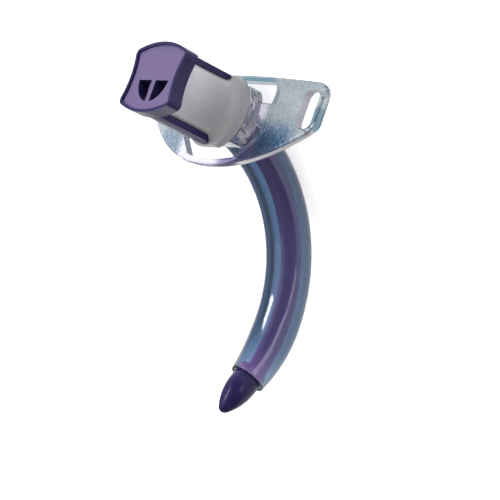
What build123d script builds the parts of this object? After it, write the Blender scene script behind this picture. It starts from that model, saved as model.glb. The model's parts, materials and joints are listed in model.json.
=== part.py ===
"""Adult tracheostomy tube without a cuff, with its obturator pushed in. Millimetres."""

import os
from math import acos, atan2, cos, hypot, radians, sin, sqrt

from build123d import *

os.makedirs("parts", exist_ok=True)

# Axes while modelling: X runs out of the neck along the connector, Y across the neck plate, Z up the neck.
# The connector's back face lies on X = 0. Everything is laid down on the table at the end.

# Cannula
tube_outer_diameter = 11.9
tube_bore = 8.0
tube_bend_radius = 42.6
tube_bend_angle = 112.9
tube_reach_into_connector = 5.0
tube_end_diameter = 9.7
tube_middle_of_taper_diameter = 11.2
tube_taper_angle = 20.0

# Connector
connector_length = 19.7
connector_small_diameter = 15.0
connector_taper = 1 / 40
connector_mouth_diameter = 12.8
connector_mouth_depth = 12.0
collar_diameter = 20.4
collar_thickness = 2.2
collar_flare_length = 3.4
collar_across_flats = 18.8
collar_edge_radius = 0.5

# Neck plate
plate_half_width = 34.2
plate_top = 10.7
plate_top_at_corner = 10.4
plate_bottom = 14.0
plate_bottom_at_corner = 1.3
plate_thickness = 2.2
plate_sweep_radius = 178.0
plate_upper_corner_radius = 4.0
plate_lower_corner_radius = 3.0
plate_outer_edge_radius = 0.9

# Window between the plate's rim and its hub, crossed by the two side bars
rim_top_width = 1.6
rim_bottom_width = 1.8
window_half_width_top = 17.9
window_half_width_middle = 16.6
window_half_width_bottom = 7.0
window_middle_below_axis = 4.5
window_corner_radius = 2.4
side_bar_top = 3.6
side_bar_bottom_at_hub = 0.8
side_bar_bottom_in_wing = 6.6
side_bar_relief = 0.5

# Hub of the neck plate
hub_diameter = 20.8
hub_across_flats = 15.0
hub_length = 3.8

# Strap slots
slot_width = 5.0
end_bar_width = 1.85
slot_height = 10.6
slot_centre_up = 3.1
slot_corner_radius = 2.3

# Obturator head plate
head_half_width = 11.3
head_waist_half_width = 9.9
head_half_height = 9.45
head_corner_height = 6.9
head_thickness = 3.7
head_corner_radius = 1.5
head_rim_width = 0.8
head_recess_depth = 0.7
head_opening_radius = 6.3
head_opening_top = 0.65

# Obturator arms
arm_width = 5.6
arm_thickness = 1.5
arm_tip_gap = 2.1

# Obturator stem and tip
rib_thickness = 1.7
stem_width = 5.6
stem_core_diameter = 2.8
stem_off_centre = 0.9
tip_plug_length = 2.5
tip_land_length = 2.0
tip_nose_length = 9.2
tip_nose_end_radius = 1.6

# Fits
bond_gap = 0.04
arm_gap = 0.1
tip_gap = 0.15

# Worked out from the sizes above
tube_outer_radius = tube_outer_diameter / 2
tube_bore_radius = tube_bore / 2
connector_base_diameter = connector_small_diameter + connector_length * connector_taper
slot_centre_out = plate_half_width - end_bar_width - slot_width / 2
side_bar_end = slot_centre_out - slot_width
head_underside = connector_length
head_face = head_underside + head_thickness
arm_outer_radius = collar_across_flats / 2
arm_inner_radius = arm_outer_radius - arm_thickness
bend_axis = Axis((tube_reach_into_connector, 0, -tube_bend_radius), (0, -1, 0))
taper_start_angle = tube_bend_angle - tube_taper_angle
tip_radius = tube_bore_radius - tip_gap
nose_end_centre = tip_nose_length - tip_nose_end_radius
nose_arc_radius = (nose_end_centre**2 + tip_radius**2 - tip_nose_end_radius**2) / (
    2 * (tip_radius - tip_nose_end_radius)
)
nose_join_share = nose_arc_radius / (nose_arc_radius - tip_nose_end_radius)
nose_join_along = nose_end_centre * nose_join_share
nose_join_radius = (tip_radius - nose_arc_radius) * (1 - nose_join_share)


def section_plane(angle):
    """The plane across the tube after it has bent by this angle, facing its lower end."""
    turned = radians(angle)
    centre = (
        tube_reach_into_connector - tube_bend_radius * sin(turned),
        0,
        tube_bend_radius * (cos(turned) - 1),
    )
    return Plane(origin=centre, x_dir=(0, 1, 0), z_dir=(-cos(turned), 0, -sin(turned)))


tube_mouth = section_plane(0)
tube_end = section_plane(tube_bend_angle)
tube_end_lengthways = Plane(origin=tube_end.origin, x_dir=tube_end.z_dir, z_dir=(0, 1, 0))
tube_end_axis = Axis(tube_end.origin, tube_end.z_dir)

# Cannula
with BuildPart() as cannula:
    with BuildSketch(tube_mouth):
        Circle(tube_outer_radius)
    revolve(axis=bend_axis, revolution_arc=taper_start_angle)
    with BuildSketch(section_plane(taper_start_angle)):
        Circle(tube_outer_radius)
    with BuildSketch(section_plane(taper_start_angle + tube_taper_angle / 2)):
        Circle(tube_middle_of_taper_diameter / 2)
    with BuildSketch(tube_end):
        Circle(tube_end_diameter / 2)
    loft()
    with BuildSketch(tube_mouth):
        Circle(tube_bore_radius)
    revolve(axis=bend_axis, revolution_arc=tube_bend_angle, mode=Mode.SUBTRACT)
cannula.part.label = "cannula"

# Room for the cannula in the pieces that are bonded to it
with BuildPart() as cannula_seat:
    with BuildSketch(tube_mouth):
        Circle(tube_outer_radius + bond_gap)
    revolve(axis=bend_axis, revolution_arc=taper_start_angle)

# Obturator arms, two curved straps that hug the connector
with BuildPart() as arms:
    with BuildSketch(Plane.YZ.offset(arm_tip_gap)):
        Circle(arm_outer_radius)
        Circle(arm_inner_radius, mode=Mode.SUBTRACT)
        Rectangle(arm_width, 2 * arm_outer_radius, mode=Mode.INTERSECT)
    extrude(amount=head_underside - arm_tip_gap)
    with BuildSketch(Plane.XY):
        with Locations((arm_tip_gap + arm_width / 2, 0)):
            Circle(arm_width / 2)
            Rectangle(head_face, arm_width, align=(Align.MIN, Align.CENTER))
    extrude(amount=arm_outer_radius, both=True, mode=Mode.INTERSECT)

# Room for the arms in the connector's collar
with BuildPart() as arm_pockets:
    with BuildSketch(Plane.XY):
        with Locations((arm_tip_gap + arm_width / 2, 0)):
            Circle(arm_width / 2 + arm_gap)
            Rectangle(head_face, arm_width + 2 * arm_gap, align=(Align.MIN, Align.CENTER))
    extrude(amount=collar_diameter, both=True)
    with BuildSketch(Plane.YZ):
        Circle(arm_inner_radius - arm_gap)
    extrude(amount=2 * head_face, mode=Mode.SUBTRACT)

# Connector
with BuildPart() as connector:
    with BuildSketch(Plane.XZ):
        with BuildLine():
            Polyline(
                (collar_thickness, collar_diameter / 2),
                (0, collar_diameter / 2),
                (0, 0),
                (connector_length, 0),
                (connector_length, connector_small_diameter / 2),
                (collar_thickness + collar_flare_length, connector_base_diameter / 2),
            )
            Spline(
                (collar_thickness + collar_flare_length, connector_base_diameter / 2),
                (collar_thickness, collar_diameter / 2),
                tangents=[(-1, 0), (-0.2, 1)],
            )
        make_face()
    revolve(axis=Axis.X)
    with BuildSketch(Plane.YZ):
        Rectangle(2 * collar_diameter, collar_across_flats)
    extrude(amount=connector_length, mode=Mode.INTERSECT)
    fillet(connector.faces().sort_by(Axis.X)[0].edges(), collar_edge_radius)
    with BuildSketch(Plane.XZ):
        with BuildLine():
            Polyline(
                (0, 0),
                (connector_length, 0),
                (connector_length, connector_mouth_diameter / 2),
                (connector_length - connector_mouth_depth, connector_mouth_diameter / 2),
                (tube_reach_into_connector, tube_bore_radius),
                (0, tube_bore_radius),
                (0, 0),
            )
        make_face()
    revolve(axis=Axis.X, mode=Mode.SUBTRACT)
    add(cannula_seat.part, mode=Mode.SUBTRACT)
    add(arm_pockets.part, mode=Mode.SUBTRACT)
connector.part.label = "connector"

# Outline of the neck plate, flat, seen from the front
with BuildSketch(Plane.YZ) as plate_outline:
    with BuildLine():
        ThreePointArc(
            (-plate_half_width, plate_top_at_corner),
            (0, plate_top),
            (plate_half_width, plate_top_at_corner),
        )
        Line((plate_half_width, plate_top_at_corner), (plate_half_width, -plate_bottom_at_corner))
        ThreePointArc(
            (plate_half_width, -plate_bottom_at_corner),
            (0, -plate_bottom),
            (-plate_half_width, -plate_bottom_at_corner),
        )
        Line((-plate_half_width, -plate_bottom_at_corner), (-plate_half_width, plate_top_at_corner))
    make_face()
    fillet(plate_outline.vertices().group_by(Axis.Y)[-1], plate_upper_corner_radius)
    fillet(plate_outline.vertices().group_by(Axis.Y)[0], plate_lower_corner_radius)

# Window in the plate, bounded by the rim above and below and by the wings at its sides
with BuildSketch(Plane.YZ) as window_outline:
    with BuildLine():
        Polyline(
            (-window_half_width_bottom, -plate_bottom),
            (-window_half_width_middle, -window_middle_below_axis),
            (-window_half_width_top, plate_top),
            (window_half_width_top, plate_top),
            (window_half_width_middle, -window_middle_below_axis),
            (window_half_width_bottom, -plate_bottom),
            close=True,
        )
    make_face()
    with BuildLine():
        ThreePointArc(
            (-plate_half_width, plate_top_at_corner - rim_top_width),
            (0, plate_top - rim_top_width),
            (plate_half_width, plate_top_at_corner - rim_top_width),
        )
        Line(
            (plate_half_width, plate_top_at_corner - rim_top_width),
            (plate_half_width, rim_bottom_width - plate_bottom_at_corner),
        )
        ThreePointArc(
            (plate_half_width, rim_bottom_width - plate_bottom_at_corner),
            (0, rim_bottom_width - plate_bottom),
            (-plate_half_width, rim_bottom_width - plate_bottom_at_corner),
        )
        Line(
            (-plate_half_width, rim_bottom_width - plate_bottom_at_corner),
            (-plate_half_width, plate_top_at_corner - rim_top_width),
        )
    make_face(mode=Mode.INTERSECT)
    fillet(window_outline.vertices(), window_corner_radius)

# Side bars that carry the hub across the window
with BuildSketch(Plane.YZ) as side_bars:
    with BuildLine():
        Polyline(
            (-side_bar_end, side_bar_top),
            (side_bar_end, side_bar_top),
            (side_bar_end, -side_bar_bottom_in_wing),
            (hub_diameter / 2, -side_bar_bottom_at_hub),
            (-hub_diameter / 2, -side_bar_bottom_at_hub),
            (-side_bar_end, -side_bar_bottom_in_wing),
            close=True,
        )
    make_face()

# Relief that leaves the side bars thinner than the plate, front and back
with BuildPart() as bar_relief:
    with BuildSketch(Plane.XY):
        with Locations((-plate_sweep_radius, 0)):
            Circle(plate_sweep_radius + side_bar_relief)
            Circle(plate_sweep_radius - side_bar_relief, mode=Mode.SUBTRACT)
            Circle(plate_sweep_radius - plate_thickness + side_bar_relief)
            Circle(plate_sweep_radius - plate_thickness - side_bar_relief, mode=Mode.SUBTRACT)
        Rectangle(2 * plate_half_width, 2 * plate_half_width, mode=Mode.INTERSECT)
    extrude(amount=plate_bottom, both=True)
    with BuildSketch(Plane.YZ):
        add(window_outline.sketch_local)
    extrude(amount=plate_half_width, both=True, mode=Mode.INTERSECT)

# Neck plate: a sheet with a gentle backward sweep, cut to its outline, with its hub on the two side bars
with BuildPart() as neck_flange:
    with BuildSketch(Plane.XY):
        with Locations((-plate_sweep_radius, 0)):
            Circle(plate_sweep_radius)
            Circle(plate_sweep_radius - plate_thickness, mode=Mode.SUBTRACT)
        Rectangle(2 * plate_half_width, 4 * plate_half_width, mode=Mode.INTERSECT)
    extrude(amount=2 * plate_bottom, both=True)
    with BuildSketch(Plane.YZ):
        add(plate_outline.sketch_local)
    extrude(amount=plate_half_width, both=True, mode=Mode.INTERSECT)
    swept_faces = neck_flange.faces().filter_by(GeomType.CYLINDER).sort_by(SortBy.AREA)[-2:]
    fillet(swept_faces.edges(), plate_outer_edge_radius)
    with BuildSketch(Plane.YZ):
        add(window_outline.sketch_local)
        add(side_bars.sketch_local, mode=Mode.SUBTRACT)
        with Locations((-slot_centre_out, slot_centre_up), (slot_centre_out, slot_centre_up)):
            RectangleRounded(slot_width, slot_height, slot_corner_radius)
    extrude(amount=plate_half_width, both=True, mode=Mode.SUBTRACT)
    add(bar_relief.part, mode=Mode.SUBTRACT)
    with BuildSketch(Plane.YZ):
        Circle(hub_diameter / 2)
        Rectangle(hub_diameter, hub_across_flats, mode=Mode.INTERSECT)
    extrude(amount=-hub_length)
    add(cannula_seat.part, mode=Mode.SUBTRACT)
neck_flange.part.label = "neck_flange"

# Obturator: head plate, arms, ribbed stem and bullet tip
with BuildSketch(Plane.YZ.offset(head_underside)) as head_outline:
    with BuildLine():
        ThreePointArc(
            (-head_half_width, head_corner_height),
            (0, head_half_height),
            (head_half_width, head_corner_height),
        )
        ThreePointArc(
            (head_half_width, head_corner_height),
            (head_waist_half_width, 0),
            (head_half_width, -head_corner_height),
        )
        ThreePointArc(
            (head_half_width, -head_corner_height),
            (0, -head_half_height),
            (-head_half_width, -head_corner_height),
        )
        ThreePointArc(
            (-head_half_width, -head_corner_height),
            (-head_waist_half_width, 0),
            (-head_half_width, head_corner_height),
        )
    make_face()
    fillet(head_outline.vertices(), head_corner_radius)

with BuildPart() as obturator:
    with BuildSketch(Plane.YZ.offset(head_underside)):
        add(head_outline.sketch_local)
    extrude(amount=head_thickness)
    with BuildSketch(Plane.YZ.offset(head_face)):
        add(head_outline.sketch_local)
        offset(amount=-head_rim_width, mode=Mode.REPLACE)
    extrude(amount=-head_recess_depth, mode=Mode.SUBTRACT)
    with BuildSketch(Plane.YZ.offset(head_underside)):
        Circle(head_opening_radius)
        with Locations((0, -head_opening_top)):
            Rectangle(
                2 * head_opening_radius,
                2 * head_opening_radius,
                align=(Align.CENTER, Align.MIN),
                mode=Mode.SUBTRACT,
            )
        Rectangle(rib_thickness, 4 * head_opening_radius, mode=Mode.SUBTRACT)
    extrude(amount=head_thickness, mode=Mode.SUBTRACT)
    add(arms.part)
    with BuildSketch(tube_mouth) as stem_section:
        with Locations((0, -stem_off_centre)):
            Rectangle(rib_thickness, stem_width)
            Rectangle(stem_width, rib_thickness)
            Circle(stem_core_diameter / 2)
    extrude(amount=-(head_underside - tube_reach_into_connector))
    with BuildSketch(tube_mouth):
        add(stem_section.sketch_local)
    revolve(axis=bend_axis, revolution_arc=tube_bend_angle)
    with BuildSketch(tube_end_lengthways):
        with BuildLine():
            Line((-tip_plug_length, 0), (-tip_plug_length, tip_radius))
            Line((-tip_plug_length, tip_radius), (tip_land_length, tip_radius))
            nose_side = TangentArc(
                (tip_land_length, tip_radius),
                (tip_land_length + nose_join_along, nose_join_radius),
                tangent=(1, 0),
            )
            TangentArc(nose_side @ 1, (tip_land_length + tip_nose_length, 0), tangent=nose_side % 1)
            Line((tip_land_length + tip_nose_length, 0), (-tip_plug_length, 0))
        make_face()
    revolve(axis=tube_end_axis)
obturator.part.label = "obturator"

# The tube lies on its back, on the outside of its bend and the upper edge of each wing
wing_rest_out = plate_half_width - plate_upper_corner_radius
wing_rest_back = sqrt((plate_sweep_radius - plate_thickness) ** 2 - wing_rest_out**2) - plate_sweep_radius
wing_rest_x = wing_rest_back + plate_outer_edge_radius
wing_rest_z = plate_top_at_corner - plate_outer_edge_radius
bend_from_wing_x = tube_reach_into_connector - wing_rest_x
bend_from_wing_z = -tube_bend_radius - wing_rest_z
bend_outer_radius = tube_bend_radius + tube_outer_radius
bend_from_wing = hypot(bend_from_wing_x, bend_from_wing_z)
down_angle = atan2(bend_from_wing_z, bend_from_wing_x) - acos(
    (plate_outer_edge_radius - bend_outer_radius) / bend_from_wing
)
table = Plane(
    origin=(0, 0, 0),
    x_dir=(sin(down_angle), 0, -cos(down_angle)),
    z_dir=(-cos(down_angle), 0, -sin(down_angle)),
)
moulded = (cannula, connector, neck_flange, obturator)
lying_box = Compound([table.to_local_coords(piece.part) for piece in moulded]).bounding_box()
table_centre = Pos(-lying_box.center().X, -lying_box.center().Y, -lying_box.min.Z)

for piece in moulded:
    lying = table_centre * table.to_local_coords(piece.part)
    lying.label = piece.part.label
    export_step(lying, f"parts/{lying.label}.step")
print("table plane", table)
print("table centre", table_centre.position, lying_box.size)
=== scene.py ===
"""A clear tracheostomy tube with its purple obturator, lying on a white table."""

import json
from math import cos, radians, sin

import bmesh
import bpy
from mathutils import Matrix, Vector


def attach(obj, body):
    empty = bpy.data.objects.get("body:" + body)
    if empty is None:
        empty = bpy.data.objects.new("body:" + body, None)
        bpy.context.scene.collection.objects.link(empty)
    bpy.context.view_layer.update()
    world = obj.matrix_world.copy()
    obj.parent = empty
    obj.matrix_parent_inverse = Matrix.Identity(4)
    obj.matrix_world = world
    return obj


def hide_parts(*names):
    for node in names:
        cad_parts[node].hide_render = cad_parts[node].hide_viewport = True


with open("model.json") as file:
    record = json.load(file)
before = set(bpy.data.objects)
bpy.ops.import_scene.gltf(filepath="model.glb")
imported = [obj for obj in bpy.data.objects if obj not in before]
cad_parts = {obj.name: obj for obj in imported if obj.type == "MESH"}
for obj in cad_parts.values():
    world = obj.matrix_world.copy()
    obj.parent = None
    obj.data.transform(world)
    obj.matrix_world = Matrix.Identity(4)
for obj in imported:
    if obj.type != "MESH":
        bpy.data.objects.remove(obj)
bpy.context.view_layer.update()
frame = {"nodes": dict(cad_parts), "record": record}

MM = 0.001

# Moulding axes: X out of the neck along the connector, Y across the plate, Z up the neck
CONNECTOR_LENGTH = 19.7 * MM
connector_mount = frame["record"]["mounts"][0]
connector_axis = Vector(connector_mount["axis"]).normalized()
across_plate = Vector((0, -1, 0))
up_neck = connector_axis.cross(across_plate)
plate_middle = Vector(connector_mount["pos_m"]) - CONNECTOR_LENGTH * connector_axis
moulding_turn = Matrix((connector_axis, across_plate, up_neck)).transposed().to_4x4()
moulding = Matrix.Translation(plate_middle) @ moulding_turn
OUTWARDS = (1, 0, 0)

# The tube bends from inside the hub to its open end, and narrows over the last part
TUBE_BEND_RADIUS = 42.6 * MM
TUBE_BEND_ANGLE = radians(112.9)
TUBE_REACH = 5.0 * MM
TUBE_OUTER_RADIUS = 5.95 * MM
TUBE_END_RADIUS = 4.85 * MM
TUBE_TAPER_ANGLE = radians(20.0)
TAPER_POWER = 1.7
TUBE_BORE_RADIUS = 4.0 * MM
TUBE_LIP_RADIUS = 0.22 * MM
TUBE_STEPS = 140
TUBE_SIDES = 80
LIP_STEPS = 4
ROUND_LIP = 0.5
INLET_MARGIN = 0.1 * MM
BEND_MIDDLE_TO_PLACE = (-TUBE_REACH, 0, TUBE_BEND_RADIUS)
tube_end = Vector((
    TUBE_REACH - TUBE_BEND_RADIUS * sin(TUBE_BEND_ANGLE),
    0,
    TUBE_BEND_RADIUS * (cos(TUBE_BEND_ANGLE) - 1),
))
tube_end_direction = Vector((-cos(TUBE_BEND_ANGLE), 0, -sin(TUBE_BEND_ANGLE)))

# The obturator's head stands out past the connector, and its tip starts just inside the tube's end
HEAD_STANDS_OUT = 3.7 * MM
TIP_SINKS_IN = 0.1 * MM
head_face = CONNECTOR_LENGTH + HEAD_STANDS_OUT
tip_starts = tube_end.dot(tube_end_direction) - TIP_SINKS_IN

# Camera, fitted to the photograph in the moulding axes
CAMERA_RIGHT = Vector((-0.74219, 0.5845, 0.3279))
CAMERA_UP = Vector((0.38692, -0.02578, 0.92175))
CAMERA_BACK = Vector((0.54722, 0.81099, -0.20702))
CAMERA_DISTANCE = 0.611386
FOCAL_PIXELS = 2423.0
PICTURE_SIDE = 500
AIM_PIXEL = (223.408, 113.663)
SENSOR = 36
NEAREST_SEEN = 10 * MM

camera_data = bpy.data.cameras.new("camera")
camera = bpy.data.objects.new("camera", camera_data)
bpy.context.scene.collection.objects.link(camera)
camera_turn = Matrix((CAMERA_RIGHT, CAMERA_UP, CAMERA_BACK)).transposed().to_4x4()
to_middle = Vector((PICTURE_SIDE / 2 - AIM_PIXEL[0], AIM_PIXEL[1] - PICTURE_SIDE / 2, -FOCAL_PIXELS))
turn_to_middle = Vector((0, 0, -1)).rotation_difference(to_middle).to_matrix().to_4x4()
camera_place = moulding @ Matrix.Translation(CAMERA_DISTANCE * CAMERA_BACK)
camera.matrix_world = camera_place @ camera_turn @ turn_to_middle
camera_data.sensor_width = SENSOR
camera_data.lens = to_middle.length * SENSOR / PICTURE_SIDE
camera_data.clip_start = NEAREST_SEEN
bpy.context.scene.camera = camera


class Finish:
    """A material, with the steps that the finishes share."""

    def __init__(self, name):
        self.material = bpy.data.materials.new(name)
        self.material.use_nodes = True
        self.nodes = self.material.node_tree.nodes
        self.links = self.material.node_tree.links
        self.shader = self.nodes["Principled BSDF"].inputs

    def feed(self, socket, value):
        """Links another node's socket, or sets a plain value."""
        if isinstance(value, bpy.types.NodeSocket):
            self.links.new(value, socket)
        else:
            socket.default_value = value

    def place(self):
        """The place of a point along the moulding axes, in metres."""
        coordinates = self.nodes.new("ShaderNodeTexCoord")
        turn = self.nodes.new("ShaderNodeMapping")
        turn.vector_type = "TEXTURE"
        turn.inputs["Location"].default_value = moulding.to_translation()
        turn.inputs["Rotation"].default_value = moulding.to_euler()
        self.links.new(coordinates.outputs["Object"], turn.inputs["Vector"])
        return turn.outputs["Vector"]

    def moved(self, vector, step):
        """A place, moved by one step."""
        sum_of_both = self.nodes.new("ShaderNodeVectorMath")
        sum_of_both.inputs[1].default_value = step
        self.links.new(vector, sum_of_both.inputs[0])
        return sum_of_both.outputs["Vector"]

    def apart(self, vector):
        """The X, Y and Z of a place."""
        parts = self.nodes.new("ShaderNodeSeparateXYZ")
        self.links.new(vector, parts.inputs["Vector"])
        return parts.outputs["X"], parts.outputs["Y"], parts.outputs["Z"]

    def along(self, vector, direction):
        """How far a vector reaches in a direction."""
        product = self.nodes.new("ShaderNodeVectorMath")
        product.operation = "DOT_PRODUCT"
        product.inputs[1].default_value = direction
        self.links.new(vector, product.inputs[0])
        return product.outputs["Value"]

    def facing(self, direction):
        """1 where the surface faces that way, down to -1 where it faces the other way."""
        coordinates = self.nodes.new("ShaderNodeTexCoord")
        return self.along(coordinates.outputs["Normal"], direction)

    def calculate(self, operation, first, second=0):
        """One step of arithmetic."""
        step = self.nodes.new("ShaderNodeMath")
        step.operation = operation
        self.feed(step.inputs[0], first)
        self.feed(step.inputs[1], second)
        return step.outputs["Value"]

    def both(self, first, second):
        """Full only where both shares are full."""
        return self.calculate("MULTIPLY", first, second)

    def either(self, first, second):
        """The larger of two numbers."""
        return self.calculate("MAXIMUM", first, second)

    def without_sign(self, value):
        """The distance from zero, on either side."""
        return self.calculate("ABSOLUTE", value)

    def hypotenuse(self, first, second):
        """The straight distance over two sides at a right angle."""
        squares = [self.calculate("MULTIPLY", side, side) for side in (first, second)]
        return self.calculate("SQRT", self.calculate("ADD", *squares))

    def rise(self, value, start, full):
        """A share that goes smoothly from 0 at start to 1 at full."""
        ramp = self.nodes.new("ShaderNodeMapRange")
        ramp.interpolation_type = "SMOOTHSTEP"
        ramp.inputs["From Min"].default_value = start
        ramp.inputs["From Max"].default_value = full
        self.links.new(value, ramp.inputs["Value"])
        return ramp.outputs["Result"]

    def number(self, share, at_none, at_full):
        """Goes evenly from one number to another with the share."""
        ramp = self.nodes.new("ShaderNodeMapRange")
        ramp.inputs["To Min"].default_value = at_none
        ramp.inputs["To Max"].default_value = at_full
        self.links.new(share, ramp.inputs["Value"])
        return ramp.outputs["Result"]

    def colour(self, share, at_none, at_full):
        """Goes evenly from one colour to another with the share."""
        mix = self.nodes.new("ShaderNodeMix")
        mix.data_type = "RGBA"
        for socket, value in (("Factor", share), ("A", at_none), ("B", at_full)):
            self.feed(mix.inputs[socket], value)
        return mix.outputs["Result"]

    def noise(self, place, size, detail):
        """Heights from 0 to 1 whose lumps are about as large as the size."""
        lumps = self.nodes.new("ShaderNodeTexNoise")
        lumps.inputs["Scale"].default_value = 1 / size
        lumps.inputs["Detail"].default_value = detail
        self.links.new(place, lumps.inputs["Vector"])
        return lumps.outputs["Fac"]

    def grain(self, heights, depth, strength):
        """A fine moulded grain in the shader's normal."""
        bump = self.nodes.new("ShaderNodeBump")
        bump.inputs["Distance"].default_value = depth
        self.feed(bump.inputs["Strength"], strength)
        self.links.new(heights, bump.inputs["Height"])
        self.links.new(bump.outputs["Normal"], self.shader["Normal"])

    def tint_inside(self, colour, density):
        """A tint that grows with the thickness that is looked through."""
        absorb = self.nodes.new("ShaderNodeVolumeAbsorption")
        absorb.inputs["Color"].default_value = colour
        absorb.inputs["Density"].default_value = density
        self.links.new(absorb.outputs["Volume"], self.nodes["Material Output"].inputs["Volume"])


# White connector: painted light and shade in its grey, brighter towards the head and darker by the
# collar
CONNECTOR_GRAIN = 0.6 * MM
CONNECTOR_GRAIN_DEPTH = 0.01 * MM
CONNECTOR_GRAIN_STRENGTH = 0.4
CONNECTOR_PAINTED_LIGHT_SPAN = (7 * MM, CONNECTOR_LENGTH)
CONNECTOR_PAINTED_SHADE_BY_COLLAR = (0.45, 0.455, 0.47, 1)
CONNECTOR_PAINTED_LIGHT_BY_HEAD = (0.8, 0.78, 0.85, 1)
GRAIN_DETAIL = 3


def white_connector():
    finish = Finish("white_connector")
    finish.shader["Roughness"].default_value = 0.33
    finish.shader["Specular IOR Level"].default_value = 0.4
    place = finish.place()
    heights = finish.noise(place, CONNECTOR_GRAIN, GRAIN_DETAIL)
    finish.grain(heights, CONNECTOR_GRAIN_DEPTH, CONNECTOR_GRAIN_STRENGTH)
    # Painted light and shade: the grey runs from a painted shade by the collar to a painted light by the
    # head
    painted_light_towards_head = finish.rise(finish.along(place, OUTWARDS), *CONNECTOR_PAINTED_LIGHT_SPAN)
    colour = finish.colour(painted_light_towards_head, CONNECTOR_PAINTED_SHADE_BY_COLLAR, CONNECTOR_PAINTED_LIGHT_BY_HEAD)
    finish.feed(finish.shader["Base Color"], colour)
    return finish.material


# Purple obturator: dark gloss, with a frosted face painted lighter as a painted sheen, a darker tip, and
# the stem inside the tube painted a bright violet as painted light, so that it shows through the tube
HEAD_FACES_OUT = (0.9, 0.95)
FACE_BELOW_RIM = (head_face - 0.2 * MM, head_face - 0.4 * MM)
STEM_BEFORE_TIP = (tip_starts, tip_starts - 0.6 * MM)
STEM_IN_TUBE = (2 * MM, 1 * MM)
TIP_BEGINS = (tip_starts - 0.2 * MM, tip_starts)
OBTURATOR_GRAIN = 0.35 * MM
OBTURATOR_GRAIN_DEPTH = 0.03 * MM
OBTURATOR_GRAIN_STRENGTH = (0.1, 0.7)
OBTURATOR_PURPLE = (0.026, 0.021, 0.09, 1)
# The frosted face's purple is lighter than the body by a painted sheen
FROSTED_FACE_PAINTED_SHEEN = (0.165, 0.125, 0.26, 1)
FROSTED_FACE_EVENNESS = (0.85, 1.0)
FROSTED_FACE_ROUGHNESS = (0, 0.6)
TIP_PURPLE = (0.016, 0.011, 0.075, 1)
# The stem's violet is painted light, far lighter than the body
STEM_PAINTED_LIGHT_VIOLET = (1.0, 0.38, 0.9, 1)
BODY_TO_TIP_ROUGHNESS = (0.33, 0.24)


def purple_obturator():
    finish = Finish("purple_obturator")
    finish.shader["Specular IOR Level"].default_value = 0.2
    place = finish.place()
    out = finish.along(place, OUTWARDS)
    towards_tube_end = finish.along(place, tube_end_direction)
    front = finish.rise(finish.facing(connector_axis), *HEAD_FACES_OUT)
    face = finish.both(front, finish.rise(out, *FACE_BELOW_RIM))
    stem = finish.both(finish.rise(towards_tube_end, *STEM_BEFORE_TIP), finish.rise(out, *STEM_IN_TUBE))
    tip = finish.rise(towards_tube_end, *TIP_BEGINS)

    heights = finish.noise(place, OBTURATOR_GRAIN, GRAIN_DETAIL)
    finish.grain(heights, OBTURATOR_GRAIN_DEPTH, finish.number(face, *OBTURATOR_GRAIN_STRENGTH))
    # Painted sheen: the frosted face takes a lighter purple, varied a little by the grain
    frosting_and_painted_sheen = finish.both(face, finish.number(heights, *FROSTED_FACE_EVENNESS))
    colour = finish.colour(frosting_and_painted_sheen, OBTURATOR_PURPLE, FROSTED_FACE_PAINTED_SHEEN)
    colour = finish.colour(tip, colour, TIP_PURPLE)
    # Painted light: the stem inside the tube is painted a bright violet so that it shows through the
    # tinted wall
    finish.feed(finish.shader["Base Color"], finish.colour(stem, colour, STEM_PAINTED_LIGHT_VIOLET))
    body_roughness = finish.number(tip, *BODY_TO_TIP_ROUGHNESS)
    face_roughness = finish.number(face, *FROSTED_FACE_ROUGHNESS)
    finish.feed(finish.shader["Roughness"], finish.either(body_roughness, face_roughness))
    return finish.material


# Clear tube: tinted blue in its wall, glossy outside and duller in the bore
BORE_SURFACE = (TUBE_BORE_RADIUS + 0.4 * MM, TUBE_BORE_RADIUS + 0.2 * MM)
OUTSIDE_TO_BORE_ROUGHNESS = (0.05, 0.22)
TUBE_SURFACE_TINT = (0.98, 0.94, 1, 1)
TUBE_BLUE = (0.14, 0.37, 0.54, 1)
TUBE_BLUE_DENSITY = 800


def clear_tube():
    finish = Finish("clear_tube")
    finish.shader["Base Color"].default_value = TUBE_SURFACE_TINT
    finish.shader["Transmission Weight"].default_value = 0.985
    finish.shader["IOR"].default_value = 1.5
    out, across, up = finish.apart(finish.moved(finish.place(), BEND_MIDDLE_TO_PLACE))
    from_bend = finish.calculate("SUBTRACT", finish.hypotenuse(out, up), TUBE_BEND_RADIUS)
    in_bore = finish.rise(finish.hypotenuse(from_bend, across), *BORE_SURFACE)
    finish.feed(finish.shader["Roughness"], finish.number(in_bore, *OUTSIDE_TO_BORE_ROUGHNESS))
    finish.tint_inside(TUBE_BLUE, TUBE_BLUE_DENSITY)
    return finish.material


# Plate: where each look starts and where it is full, across the plate from its middle
WING = (14.5 * MM, 16.5 * MM)
END_BAR = (31.5 * MM, 32.5 * MM)
INSIDE_SLOT = (29 * MM, 24 * MM)
SLOT_INNER_SIDE = (26.5 * MM, 27 * MM)
SLOT_OUTER_SIDE = (29 * MM, 30 * MM)
SIDE_OVER_TUBE = (2 * MM, 6 * MM)
CORNER_BY_HUB = (18 * MM, 15 * MM)
RIM_PAST_HUB = (9 * MM, 13 * MM)
HUB_WIDTH = (11 * MM, 9.5 * MM)

# Plate: the same, up the plate from its middle
LOW_ON_WING = (1 * MM, -6 * MM)
TOP_BAR = (7.5 * MM, 9 * MM)
BELOW_HUB = (-5 * MM, -8 * MM)
LOW_ON_END_BAR = (5 * MM, 3 * MM)
HUB_HEIGHT = (9 * MM, 7.5 * MM)

# Plate: how squarely a face has to look sideways or down, and how high the grain and the painted glint
# streaks have to be
SLOT_WALL_FACES = (0.5, 0.7)
LOWER_RIM_FACES = (0.6, 0.85)
PATCH_HEIGHTS = (0.4, 0.56)
PAINTED_STREAK_HEIGHTS = (0.42, 0.54)

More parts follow.
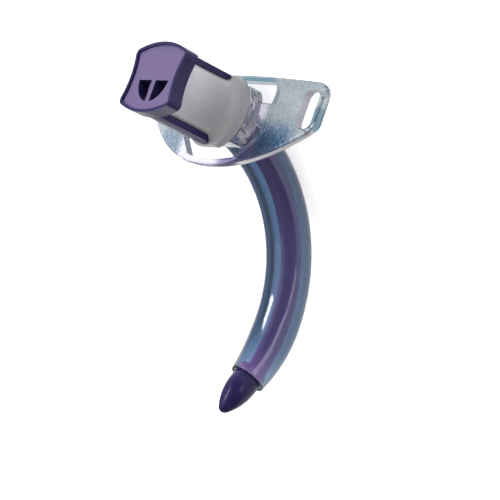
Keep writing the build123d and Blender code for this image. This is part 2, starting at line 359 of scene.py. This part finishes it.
# Plate: grain, painted glint streaks on the hub, gloss, and the milkiness that lets painted light show
PLATE_GRAIN = 0.7 * MM
PLATE_GRAIN_DEPTH = 0.12 * MM
PLATE_GRAIN_STRENGTH = (0.25, 0.9)
HUB_PAINTED_STREAK = 1.6 * MM
HUB_PAINTED_STREAK_DETAIL = 2
PLATE_ROUGHNESS = (0.1, 0.2)
CLEAR_TO_MILKY_FOR_PAINTED_LIGHT = (0.88, 0.4)
FAR_TO_OVER_TUBE = (0.4, 1.0)
PALE_TO_SHADED_MOTTLE = (0.3, 1.0)

# Plate: colours, with painted shade low on the wing, in the corner by the hub and on the end bar,
# painted light on the slot walls and a painted highlight on the lower rim
WING_PALE = (0.56, 0.6, 0.6, 1)
WING_PAINTED_SHADE = (0.22, 0.34, 0.48, 1)
WING_MOTTLE = (0.03, 0.15, 0.32, 1)
HUB_CLEAR = (1.0, 0.98, 1.0, 1)
HUB_MOTTLE = (0.8, 0.76, 0.92, 1)
TOP_BAR_BLUE = (0.25, 0.42, 0.52, 1)
CORNER_SHADE = (0.3, 0.27, 0.46, 1)
END_BAR_SHADE = (0.2, 0.31, 0.38, 1)
SLOT_WALL_PAINTED_LIGHT = (0.9, 0.87, 0.97, 1)
LOWER_RIM_PAINTED_HIGHLIGHT = (1.0, 0.93, 0.94, 1)
PLATE_BLUE = (0.2, 0.35, 0.48, 1)
PLATE_BLUE_DENSITY = 75


def frosted_plate():
    finish = Finish("frosted_plate")
    finish.shader["IOR"].default_value = 1.45
    place = finish.place()
    _, across, up = finish.apart(place)
    from_middle = finish.without_sign(across)
    wing = finish.rise(from_middle, *WING)
    end_bar = finish.rise(from_middle, *END_BAR)
    over_tube = finish.rise(across, *SIDE_OVER_TUBE)

    frosted = finish.calculate("SUBTRACT", wing, end_bar)
    finish.feed(finish.shader["Roughness"], finish.number(frosted, *PLATE_ROUGHNESS))
    heights = finish.noise(place, PLATE_GRAIN, GRAIN_DETAIL)
    finish.grain(heights, PLATE_GRAIN_DEPTH, finish.number(frosted, *PLATE_GRAIN_STRENGTH))

    low_inside_slot = finish.both(finish.rise(up, *LOW_ON_WING), finish.rise(from_middle, *INSIDE_SLOT))
    # Painted shade: low on the wing inside the slot the plate is painted a darker blue, most on the side
    # over the tube, and the random mottle grows stronger there
    painted_shade_on_wing = finish.both(low_inside_slot, finish.number(over_tube, *FAR_TO_OVER_TUBE))
    patch = finish.rise(heights, *PATCH_HEIGHTS)
    mottle = finish.both(patch, finish.number(painted_shade_on_wing, *PALE_TO_SHADED_MOTTLE))
    wing_colour = finish.colour(painted_shade_on_wing, WING_PALE, WING_PAINTED_SHADE)
    wing_colour = finish.colour(mottle, wing_colour, WING_MOTTLE)
    hub_colour = finish.colour(patch, HUB_CLEAR, HUB_MOTTLE)
    hub_colour = finish.colour(finish.rise(up, *TOP_BAR), hub_colour, TOP_BAR_BLUE)
    colour = finish.colour(wing, hub_colour, wing_colour)

    corner = finish.both(over_tube, finish.rise(from_middle, *CORNER_BY_HUB))
    shaded_corner = finish.both(corner, finish.rise(up, *BELOW_HUB))
    colour = finish.colour(shaded_corner, colour, CORNER_SHADE)
    end_bar_low = finish.both(end_bar, finish.rise(up, *LOW_ON_END_BAR))
    colour = finish.colour(end_bar_low, colour, END_BAR_SHADE)

    past_slot = finish.rise(from_middle, *SLOT_OUTER_SIDE)
    at_slot = finish.calculate("SUBTRACT", finish.rise(from_middle, *SLOT_INNER_SIDE), past_slot)
    sideways = finish.without_sign(finish.facing(across_plate))
    # Painted light: the walls inside the slot are painted pale and made milky
    painted_light_slot_wall = finish.both(finish.rise(sideways, *SLOT_WALL_FACES), at_slot)
    colour = finish.colour(painted_light_slot_wall, colour, SLOT_WALL_PAINTED_LIGHT)
    # Painted highlight: the downward faces of the lower rim past the hub are painted pale and made milky
    downwards = finish.rise(finish.facing(-up_neck), *LOWER_RIM_FACES)
    painted_highlight_lower_rim = finish.both(downwards, finish.rise(from_middle, *RIM_PAST_HUB))
    colour = finish.colour(painted_highlight_lower_rim, colour, LOWER_RIM_PAINTED_HIGHLIGHT)
    finish.feed(finish.shader["Base Color"], colour)

    # Painted glints: streaks on the hub are made milky so that their pale colour shows as bright
    # streaks, and the same milkiness lets the painted light on the slot walls and the painted highlight
    # on the lower rim show
    from_hub_middle = finish.without_sign(up)
    on_hub = finish.both(finish.rise(from_middle, *HUB_WIDTH), finish.rise(from_hub_middle, *HUB_HEIGHT))
    painted_glint_streaks = finish.rise(finish.noise(place, HUB_PAINTED_STREAK, HUB_PAINTED_STREAK_DETAIL), *PAINTED_STREAK_HEIGHTS)
    milky_for_painted_light = finish.either(finish.either(painted_highlight_lower_rim, painted_light_slot_wall), finish.both(painted_glint_streaks, on_hub))
    finish.feed(finish.shader["Transmission Weight"], finish.number(milky_for_painted_light, *CLEAR_TO_MILKY_FOR_PAINTED_LIGHT))
    finish.tint_inside(PLATE_BLUE, PLATE_BLUE_DENSITY)
    return finish.material


finishes = {
    "cannula": clear_tube(),
    "neck_flange": frosted_plate(),
    "connector": white_connector(),
    "obturator": purple_obturator(),
}
for node, material in finishes.items():
    mesh = frame["nodes"][node].data
    mesh.materials.clear()
    mesh.materials.append(material)


class Tree:
    """A Geometry Nodes tree with named inputs."""

    def __init__(self, name):
        self.tree = bpy.data.node_groups.new(name, "GeometryNodeTree")
        self.tree.interface.new_socket("Geometry", in_out="OUTPUT", socket_type="NodeSocketGeometry")
        self.inputs = self.tree.nodes.new("NodeGroupInput")
        self.output = self.tree.nodes.new("NodeGroupOutput")
        self.sizes = {}

    def size(self, name, value):
        """Adds a named input and keeps the value that it is given when the tree grows."""
        socket = self.tree.interface.new_socket(name, in_out="INPUT", socket_type="NodeSocketFloat")
        self.sizes[socket.identifier] = value
        return self.inputs.outputs[name]

    def feed(self, socket, value):
        """Links another node's socket, or sets a plain value."""
        if isinstance(value, bpy.types.NodeSocket):
            self.tree.links.new(value, socket)
        else:
            socket.default_value = value

    def node(self, kind, **sockets):
        """Adds a node, feeds the named sockets and gives its first output."""
        made = self.tree.nodes.new("GeometryNode" + kind)
        for name, value in sockets.items():
            self.feed(made.inputs[name.replace("_", " ")], value)
        return made.outputs[0]

    def calculate(self, operation, first, second):
        """One step of arithmetic."""
        made = self.tree.nodes.new("ShaderNodeMath")
        made.operation = operation
        self.feed(made.inputs[0], first)
        self.feed(made.inputs[1], second)
        return made.outputs[0]

    def grow(self, geometry, material):
        """Ends the tree in this geometry and gives what it grows as a plain mesh."""
        realized = self.node("RealizeInstances", Geometry=geometry)
        finished = self.node("SetMaterial", Geometry=realized, Material=material)
        self.tree.links.new(finished, self.output.inputs[0])
        blank = bpy.data.objects.new(self.tree.name, bpy.data.meshes.new(self.tree.name))
        bpy.context.scene.collection.objects.link(blank)
        modifier = blank.modifiers.new(self.tree.name, "NODES")
        modifier.node_group = self.tree
        for identifier, value in self.sizes.items():
            modifier[identifier] = value
        grown = blank.evaluated_get(bpy.context.evaluated_depsgraph_get())
        mesh = bpy.data.meshes.new_from_object(grown)
        bpy.data.objects.remove(blank)
        mesh.materials.clear()
        mesh.materials.append(material)
        return mesh


def tube_walls():
    """The outside and the bore of the tube, swept round the middle of the bend and open at the ends."""
    tree = Tree("bent_tube")
    bend_radius = tree.size("Bend radius", TUBE_BEND_RADIUS)
    bend_angle = tree.size("Bend angle", TUBE_BEND_ANGLE)
    outer_radius = tree.size("Outer radius", TUBE_OUTER_RADIUS)
    end_radius = tree.size("End radius", TUBE_END_RADIUS)
    tapered_share = tree.size("Tapered share", TUBE_TAPER_ANGLE / TUBE_BEND_ANGLE)
    bore_radius = tree.size("Bore radius", TUBE_BORE_RADIUS)
    bend = tree.node(
        "CurveArc", Resolution=TUBE_STEPS, Radius=bend_radius, Start_Angle=0.0, Sweep_Angle=bend_angle
    )
    section = tree.node("CurvePrimitiveCircle", Resolution=TUBE_SIDES, Radius=1.0)
    along = tree.node("SplineParameter")
    into_taper = tree.calculate("SUBTRACT", along, tree.calculate("SUBTRACT", 1.0, tapered_share))
    taper = tree.calculate("DIVIDE", tree.calculate("MAXIMUM", into_taper, 0.0), tapered_share)
    full_drop = tree.calculate("SUBTRACT", outer_radius, end_radius)
    drop = tree.calculate("MULTIPLY", tree.calculate("POWER", taper, TAPER_POWER), full_drop)
    outside_radius = tree.calculate("SUBTRACT", outer_radius, drop)
    outside = tree.node("CurveToMesh", Curve=bend, Profile_Curve=section, Scale=outside_radius)
    bore = tree.node("CurveToMesh", Curve=bend, Profile_Curve=section, Scale=bore_radius)
    walls = tree.tree.nodes.new("GeometryNodeJoinGeometry")
    tree.feed(walls.inputs[0], outside)
    tree.feed(walls.inputs[0], tree.node("FlipFaces", Mesh=bore))
    return tree.grow(walls.outputs[0], finishes["cannula"])


def bent_tube():
    """The cannula: its two walls joined at both ends, with a rounded lip at the open end."""
    mesh = tube_walls()
    tube = bmesh.new()
    tube.from_mesh(mesh)
    open_edges = [edge for edge in tube.edges if edge.is_boundary]
    inlet = [edge for edge in open_edges if all(abs(end.co.y) < INLET_MARGIN for end in edge.verts)]
    outlet = [edge for edge in open_edges if edge not in inlet]
    bmesh.ops.bridge_loops(tube, edges=inlet)
    bmesh.ops.bridge_loops(tube, edges=outlet)
    bmesh.ops.recalc_face_normals(tube, faces=tube.faces)
    bmesh.ops.bevel(
        tube, geom=outlet, offset=TUBE_LIP_RADIUS, segments=LIP_STEPS, profile=ROUND_LIP, affect="EDGES"
    )
    for face in tube.faces:
        face.smooth = True
    tube.to_mesh(mesh)
    tube.free()
    bend_in_moulding = Matrix((
        (0, -1, 0, TUBE_REACH),
        (0, 0, -1, 0),
        (1, 0, 0, -TUBE_BEND_RADIUS),
        (0, 0, 0, 1),
    ))
    mesh.transform(moulding @ bend_in_moulding)
    return mesh


tube = bpy.data.objects.new("tube_with_rounded_lip", bent_tube())
bpy.context.scene.collection.objects.link(tube)
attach(tube, "root")
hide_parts("cannula")

# White table. It glows only for rays that look at it, straight, mirrored or through a clear wall
TABLE_SIDE = 4.0
TABLE_WHITE = (0.85, 0.85, 0.85, 1)
TABLE_GLOW = 0.75
WHITE = (1, 1, 1, 1)
bpy.ops.mesh.primitive_plane_add(size=TABLE_SIDE)
table_top = bpy.context.object
table_top.name = "table_top"
table_finish = Finish("white_table")
table_finish.shader["Base Color"].default_value = TABLE_WHITE
table_finish.shader["Roughness"].default_value = 0.9
table_finish.shader["Specular IOR Level"].default_value = 0
table_finish.shader["Emission Color"].default_value = WHITE
light_path = table_finish.nodes.new("ShaderNodeLightPath").outputs
mirrored_or_through = table_finish.either(light_path["Is Glossy Ray"], light_path["Is Transmission Ray"])
seen = table_finish.either(light_path["Is Camera Ray"], mirrored_or_through)
glow = table_finish.calculate("MULTIPLY", seen, TABLE_GLOW)
table_finish.feed(table_finish.shader["Emission Strength"], glow)
table_top.data.materials.append(table_finish.material)

# Studio: an even grey surrounding and four soft lights
SURROUNDING_STRENGTH = 0.4
world = bpy.data.worlds.new("studio")
world.use_nodes = True
bpy.context.scene.world = world
surrounding = world.node_tree.nodes["Background"].inputs
surrounding["Color"].default_value = WHITE
surrounding["Strength"].default_value = SURROUNDING_STRENGTH


def soft_box(name, aim, distance, size, power):
    """A square soft light. Its aim is given as the camera sees it: right, up and back."""
    lamp = bpy.data.lights.new(name, "AREA")
    lamp.size = size
    lamp.energy = power
    holder = bpy.data.objects.new(name, lamp)
    seen_from = camera.matrix_world.to_3x3() @ Vector(aim).normalized()
    holder.location = distance * seen_from
    holder.rotation_euler = seen_from.to_track_quat("Z", "Y").to_euler()
    bpy.context.scene.collection.objects.link(holder)


soft_box("key_light", aim=(-0.85, 0.38, 0.4), distance=0.8, size=0.24, power=4.2)
soft_box("front_light", aim=(0.6, 0.25, 0.75), distance=0.9, size=0.6, power=4.0)
soft_box("side_light", aim=(-0.75, 0.1, 0.65), distance=0.9, size=0.9, power=1.6)
soft_box("rim_light", aim=(-0.088, -0.854, -0.515), distance=0.8, size=0.4, power=1.2)

bpy.context.scene.view_settings.view_transform = "Standard"
